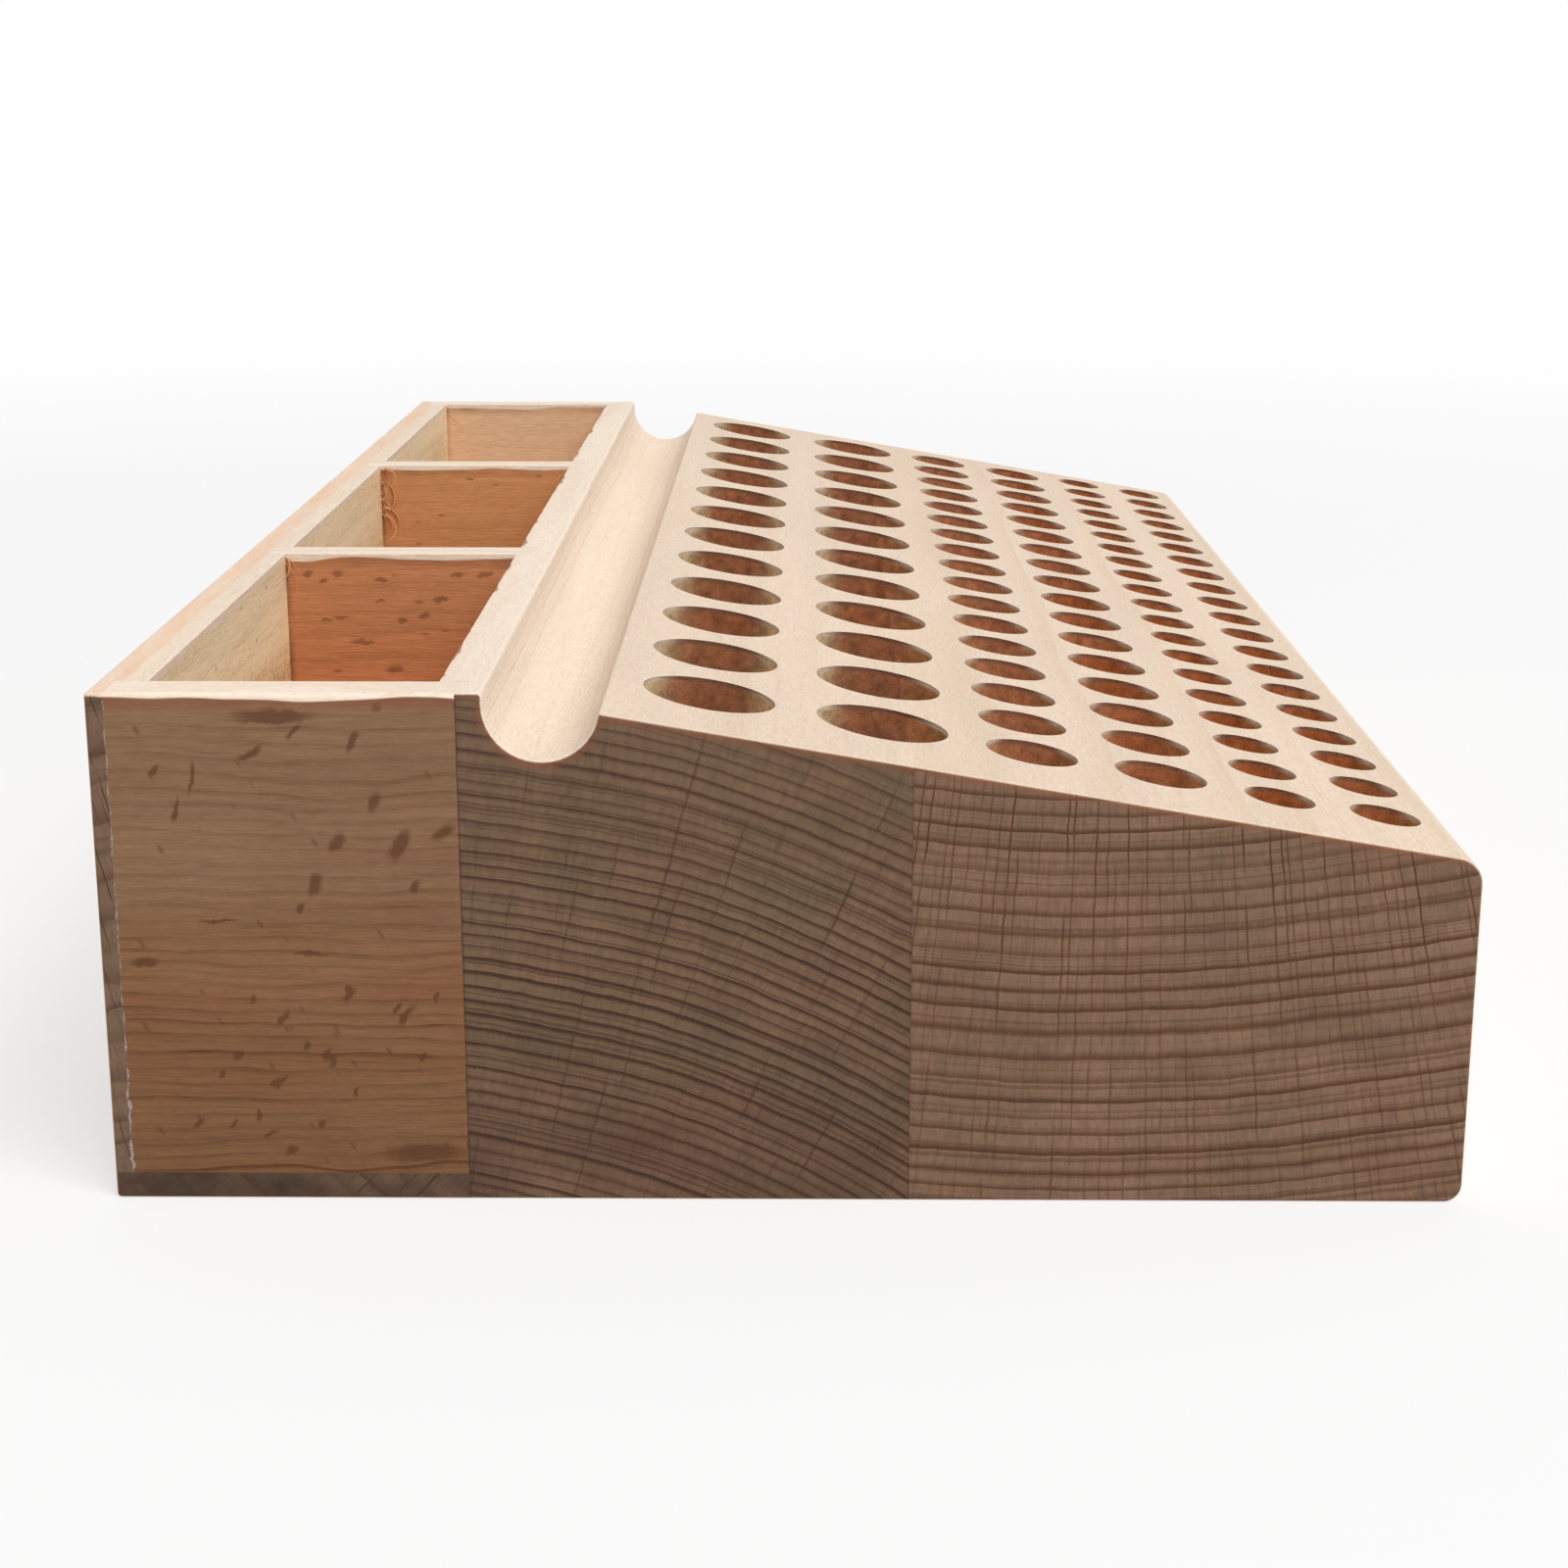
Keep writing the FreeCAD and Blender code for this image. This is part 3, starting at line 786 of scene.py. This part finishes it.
class RACK_OT_boards(bpy.types.Operator):
    """Finishes the thin boards of the box behind the block"""

    bl_idname = "rack.boards"
    bl_label = "Thin Boards"

    def execute(self, context):
        tones = context.scene.rack_tones
        plain = {
            "gap": 3.0, "wander": 1.5, "bands": 0.25, "streaks": 0.3, "red": 0.0, "large": 0.0,
            "small": 0.1, "sawn": 0.0, "tilt": math.radians(5), "fade": (40.0, 20.0),
            "skin": LENGTH / 2 - SKIN, "end": tones.board_end, "rays": 0.6, "glue": (), "burnish": 0.0,
            "marks": 0.85,
        }
        near = plain | {
            "gap": 1.6, "wander": 1.8, "bands": 0.8, "streaks": 0.6, "red": 0.5, "large": 0.03,
            "small": 0.5, "burnish": 0.95, "tilt": math.radians(120), "corner": 0.4, "marks": 0.76,
            "glue": ((BACK_JOINT, 0.4, tones.glue), (BOX_JOINT, 0.25, tones.rear_ring)),
        }
        far = plain | {"gap": 5.0, "streaks": 0.2, "corner": 0.4, "burnish": 0.5}
        # The end panels' outer faces get dark tones of painted shade, and their inner faces pale ones
        outer = (tones.board, tones.board_low)
        inner = (tones.inner_board, tones.inner_board)
        divider = plain | {
            "gap": 2.6, "bands": 0.35, "streaks": 0.4, "small": 0.4, "corner": 0.8, "burnish": 0.6,
            "marks": 0.55, "fade": (50.0, 38.0),
        }
        back = plain | {
            "gap": 4.0, "streaks": 0.2, "rays": 1.0, "sawn": 0.7, "outer_stripe": True,
            "skin": BACK - SKIN, "fade": (52.0, 34.0), "glue": ((BACK_JOINT, 0.4, tones.glue),),
        }
        bottom = plain | {"end": tones.bottom_end, "rays": 1.0}
        dress("left_end_panel", board_beech(
            "beech end panel, sanded, with plain flecks", "Y", (-90.0, -150.0), 9.0,
            outer, inner, near, END_PANEL_FLECKS
        ))
        dress("right_end_panel", board_beech(
            "beech end panel, sanded", "Y", (60.0, -150.0), 10.0, outer, inner, far
        ))
        faces = (tones.divider, tones.divider_low)
        dress("divider_1", board_beech(
            "beech divider, sanded, with plain flecks", "Y", (60.0, 200.0), 13.0,
            faces, faces, divider, DIVIDER_FLECKS
        ))
        faces = (tones.second_divider, tones.second_divider)
        dress("divider_2", board_beech(
            "beech divider, sanded", "Y", (0.0, 260.0), 14.0,
            faces, faces, divider | {"bands": 0.2, "streaks": 0.3}
        ))
        dress("back_panel", board_beech(
            "beech back panel, sanded outside and sawn inside", "X", (100.0, 150.0), 17.0,
            (tones.back, tones.back), (tones.sawn, tones.sawn_low), back
        ))
        faces = (tones.bottom, tones.bottom)
        dress("bottom_panel", board_beech(
            "beech bottom panel, sanded", "X", (-40.0, 90.0), 21.0, faces, faces, bottom
        ))
        return {"FINISHED"}


def torn_fibres(roots, seed):
    """One mesh of thin curled fibres, each a bent spike with its thick end sunk in the wood.

    roots holds, for each tuft, the corner it grows from, the way it leans, how many fibres it has and
    how thick they are in mm.
    """
    chance = random.Random(seed)
    points = []
    faces = []
    sides = 3
    joints = 8
    for corner, lean, count, most in roots:
        for _ in range(count):
            at = Vector(corner) - Vector([chance.uniform(-0.3, 0.3), 0, chance.random() ** 2 * 8])
            way = (Vector(lean) + Vector([chance.uniform(-0.4, 0.4) for _ in range(3)])).normalized()
            axis = Vector((-lean[1], 0, 0)) + Vector([chance.uniform(-0.3, 0.3) for _ in range(3)])
            curl = Quaternion(axis.normalized(), chance.uniform(0.2, 0.55))
            step = chance.uniform(0.25, 0.6) * (1 + 3 * most)
            thick = chance.uniform(0.5, 1.0) * most
            at -= way * 0.3
            first = len(points)
            for joint in range(joints):
                radius = thick * (1 - joint / joints)
                across = way.orthogonal().normalized()
                for side in range(sides):
                    spoke = across.copy()
                    spoke.rotate(Quaternion(way, 2 * math.pi * side / sides))
                    spot = at + spoke * radius
                    spot.z = min(spot.z, HEIGHT - 0.05)
                    points.append(spot * MM)
                at += way * step
                way.rotate(curl)
            for joint in range(joints - 1):
                for side in range(sides):
                    low = first + joint * sides
                    other = (side + 1) % sides
                    faces.append((low + side, low + other, low + sides + other, low + sides + side))
            last = first + (joints - 1) * sides
            faces.append(tuple(range(first, first + sides))[::-1])
            faces.append(tuple(range(last, last + sides)))
    mesh = bpy.data.meshes.new("torn_fibres")
    mesh.from_pydata(points, [], faces)
    made = bpy.data.objects.new("torn_fibres", mesh)
    bpy.context.scene.collection.objects.link(made)
    return made


class RACK_OT_fibres(bpy.types.Operator):
    """Adds the fibres that the cutters tore up in the upper corners of the compartments"""

    bl_idname = "rack.fibres"
    bl_label = "Torn Fibres"

    def execute(self, context):
        roots = []
        for x, count in zip(RIGHT_WALLS, (6, 18, 4)):
            roots.append(((x, BOX_CORNER, HEIGHT - 0.4), (-0.6, -0.7, -0.2), count, 0.12))
            roots.append(((x, BOX_FRONT, HEIGHT - 0.4), (-0.6, 0.7, -0.1), count, 0.12))
        roots.append(((RIGHT_WALLS[1], BOX_CORNER - 0.8, HEIGHT - 0.5), (-0.3, -0.9, -0.2), 4, 0.28))
        made = torn_fibres(roots, 7)

        # Loose beech fibres, torn and not cut: a dull tan fuzz without grain of its own
        finish, tree = empty_material("beech torn fibres")
        new = partial(add, tree)
        place = place_in(tree, "X")[0]
        shade = patches(tree, place, (2, 2, 2), 0.75, 1.1, 2)
        colour = new("VectorMath", [tuple(context.scene.rack_tones.torn)[:3], shade], operation="SCALE")
        bare_wood(tree, colour, shade, 0.8, 0.1, 0.02)
        made.data.materials.append(finish)
        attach(made, "root")
        return {"FINISHED"}


def background_rays(tree):
    """1 for the rays that show the background, straight or in gloss or glass, and 0 for the light."""
    new = partial(add, tree)
    rays = new("LightPath")
    seen = [rays.outputs["Is Camera Ray"], rays.outputs["Is Glossy Ray"]]
    seen = new("Math", seen, operation="MAXIMUM")
    return new("Math", [seen, rays.outputs["Is Transmission Ray"]], operation="MAXIMUM")


def lay_floor(settings):
    """A floor of matt paper, without gloss, that takes the rack's shadow and runs out into white."""
    reach = settings.floor_radius * 1.2
    corners = [(-reach, -reach, 0), (reach, -reach, 0), (reach, reach, 0), (-reach, reach, 0)]
    mesh = bpy.data.meshes.new("floor")
    mesh.from_pydata(corners, [], [(0, 1, 2, 3)])
    floor = bpy.data.objects.new("floor", mesh)
    bpy.context.scene.collection.objects.link(floor)
    paper, tree = empty_material("matt white paper")
    new = partial(add, tree)
    matt = new("BsdfDiffuse", {"Color": settings.floor})
    white = new("Emission", {"Color": (1, 1, 1, 1), "Strength": 1.0})
    coords = new("TexCoord")
    far = new("VectorMath", [coords.outputs["Object"]], operation="LENGTH")
    out = [far.outputs["Value"], settings.floor_radius * 0.25, settings.floor_radius, 0.0, 1.0]
    out = new("MapRange", out, interpolation_type="SMOOTHSTEP")
    near = new("Math", [out, 0.4, 0.6], operation="MULTIPLY_ADD")
    seen = new("Math", [background_rays(tree), near], operation="MULTIPLY")
    new("OutputMaterial", [new("MixShader", [seen, matt, white])])
    mesh.materials.append(paper)


def light_sky(settings):
    """Even light from all round, which the camera sees as white."""
    world = bpy.data.worlds.new("white sweep")
    world.use_nodes = True
    tree = world.node_tree
    tree.nodes.clear()
    new = partial(add, tree)
    sky = new("Background", {"Color": (1, 1, 1, 1), "Strength": settings.sky})
    white = new("Background", {"Color": (1, 1, 1, 1), "Strength": 1.0})
    new("OutputWorld", [new("MixShader", [background_rays(tree), sky, white])])
    bpy.context.scene.world = world


class RACK_OT_stage(bpy.types.Operator):
    """Builds the pale floor, the soft light and the camera"""

    bl_idname = "rack.stage"
    bl_label = "Studio"

    def execute(self, context):
        scene = context.scene
        settings = scene.rack_stage
        scene.view_settings.view_transform = "Standard"
        lay_floor(settings)
        light_sky(settings)

        lamp = bpy.data.lights.new("softbox", "AREA")
        lamp.shape = "SQUARE"
        lamp.size = settings.softbox
        lamp.energy = settings.key
        holder = bpy.data.objects.new("softbox", lamp)
        holder.location = SOFTBOX_PLACE
        holder.rotation_euler = (-holder.location).to_track_quat("-Z", "Y").to_euler()
        scene.collection.objects.link(holder)

        camera = bpy.data.cameras.new("camera")
        camera.lens = settings.focal
        camera.sensor_width = 36
        camera.clip_start = 0.01
        eye = bpy.data.objects.new("camera", camera)
        eye.location = EYE_PLACE
        eye.rotation_euler = (math.pi / 2 - EYE_DOWN, 0, EYE_LEFT - math.pi / 2)
        scene.collection.objects.link(eye)
        scene.camera = eye
        return {"FINISHED"}


OPERATORS = (RACK_OT_stage, RACK_OT_block, RACK_OT_boards, RACK_OT_fibres)
GROUPS = {"rack_tones": RackTones, "rack_grain": RackGrain, "rack_stage": RackStage}


class RACK_PT_panel(bpy.types.Panel):
    """Lists the rack's settings and the operators that finish it"""

    bl_idname = "RACK_PT_panel"
    bl_label = "Beech Tool Rack"
    bl_space_type = "VIEW_3D"
    bl_region_type = "UI"
    bl_category = "Tool Rack"

    def draw(self, context):
        for group in GROUPS:
            settings = getattr(context.scene, group)
            box = self.layout.box()

            # The first two are not settings: every group has a type and a name
            for name in settings.bl_rna.properties.keys()[2:]:
                box.prop(settings, name)
        for operator in OPERATORS:
            self.layout.operator(operator.bl_idname)


def register():
    """Adds the settings, the operators and the panel."""
    for made in (*GROUPS.values(), *OPERATORS, RACK_PT_panel):
        bpy.utils.register_class(made)
    for name, made in GROUPS.items():
        setattr(bpy.types.Scene, name, bpy.props.PointerProperty(type=made))


def unregister():
    """Takes them away again."""
    for name in GROUPS:
        delattr(bpy.types.Scene, name)
    for made in (RACK_PT_panel, *reversed(OPERATORS), *reversed(GROUPS.values())):
        bpy.utils.unregister_class(made)


def main():
    """Finishes the whole rack."""
    register()
    bpy.ops.rack.stage()
    bpy.ops.rack.block()
    bpy.ops.rack.boards()
    bpy.ops.rack.fibres()


if __name__ == "__main__":
    main()
